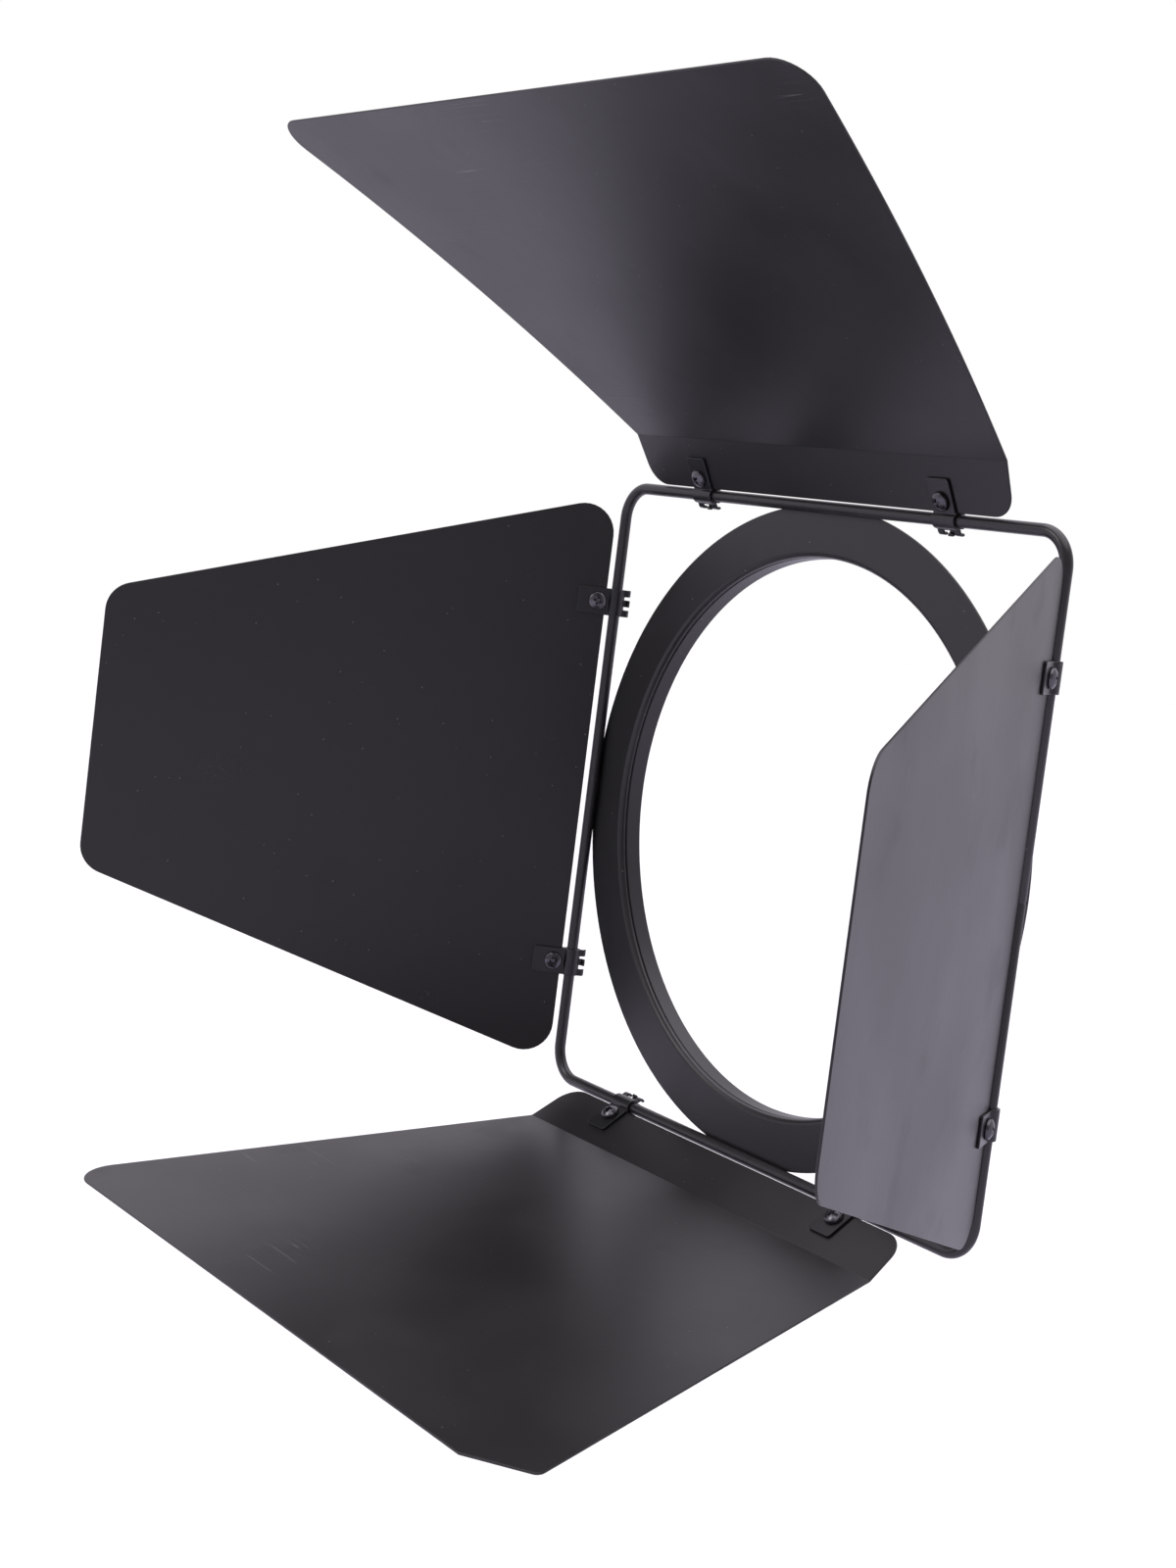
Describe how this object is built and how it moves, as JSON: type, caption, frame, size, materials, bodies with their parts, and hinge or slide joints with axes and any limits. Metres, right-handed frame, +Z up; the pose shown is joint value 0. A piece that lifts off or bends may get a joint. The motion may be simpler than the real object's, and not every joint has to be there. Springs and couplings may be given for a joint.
{
  "type": "barn door attachment",
  "caption": "Square rod frame on a round flanged ring, with hinged sheet-steel leaves that fan out from its sides to shape a theatre lantern's beam.",
  "frame": {"origin": "centre of the ring collar's back rim, on the beam axis", "axes": "+Y back along the beam axis, into the lantern; the leaves fan out towards -Y; +Z up; +X to the right for someone who stands behind the lantern's mouth looking along +Y"},
  "size_m": [0.4599, 0.2086, 0.4051],
  "materials": {
    "ring_coat": "satin black powder coat",
    "rod_coat": "satin black powder coat",
    "leaf_coat": "matt black powder coat",
    "clip_coat": "satin black paint",
    "black_screws": "black zinc plate"
  },
  "bodies": {
    "frame": {"mounting_ring": "ring_coat", "rod_frame": "rod_coat", "top_weld": "rod_coat", "bottom_weld": "rod_coat", "left_weld": "rod_coat", "right_weld": "rod_coat"},
    "top_door": {"top_leaf": "leaf_coat", "top_left_clip_inner": "clip_coat", "top_left_clip_outer": "clip_coat", "top_left_screw": "black_screws", "top_left_nut": "black_screws", "top_right_clip_inner": "clip_coat", "top_right_clip_outer": "clip_coat", "top_right_screw": "black_screws", "top_right_nut": "black_screws"},
    "bottom_door": {"bottom_leaf": "leaf_coat", "bottom_right_clip_inner": "clip_coat", "bottom_right_clip_outer": "clip_coat", "bottom_right_screw": "black_screws", "bottom_right_nut": "black_screws", "bottom_left_clip_inner": "clip_coat", "bottom_left_clip_outer": "clip_coat", "bottom_left_screw": "black_screws", "bottom_left_nut": "black_screws"},
    "left_door": {"left_leaf": "leaf_coat", "left_lower_clip_inner": "clip_coat", "left_lower_clip_outer": "clip_coat", "left_lower_screw": "black_screws", "left_lower_nut": "black_screws", "left_upper_clip_inner": "clip_coat", "left_upper_clip_outer": "clip_coat", "left_upper_screw": "black_screws", "left_upper_nut": "black_screws"},
    "right_door": {"right_leaf": "leaf_coat", "right_upper_clip_inner": "clip_coat", "right_upper_clip_outer": "clip_coat", "right_upper_screw": "black_screws", "right_upper_nut": "black_screws", "right_lower_clip_inner": "clip_coat", "right_lower_clip_outer": "clip_coat", "right_lower_screw": "black_screws", "right_lower_nut": "black_screws"}
  },
  "joints": [
    {"name": "top_hinge", "type": "hinge", "parent": "frame", "child": "top_door", "pos_m": [0, -0.01225, 0.1225], "axis": [-1, 0, 0], "range_deg": [-106, 58]},
    {"name": "bottom_hinge", "type": "hinge", "parent": "frame", "child": "bottom_door", "pos_m": [0, -0.01225, -0.1225], "axis": [1, 0, 0], "range_deg": [-52, 86]},
    {"name": "left_hinge", "type": "hinge", "parent": "frame", "child": "left_door", "pos_m": [-0.1225, -0.01225, 0], "axis": [0, 0, -1], "range_deg": [-121, 89]},
    {"name": "right_hinge", "type": "hinge", "parent": "frame", "child": "right_door", "pos_m": [0.1225, -0.01225, 0], "axis": [0, 0, 1], "range_deg": [-116, 88]}
  ]
}
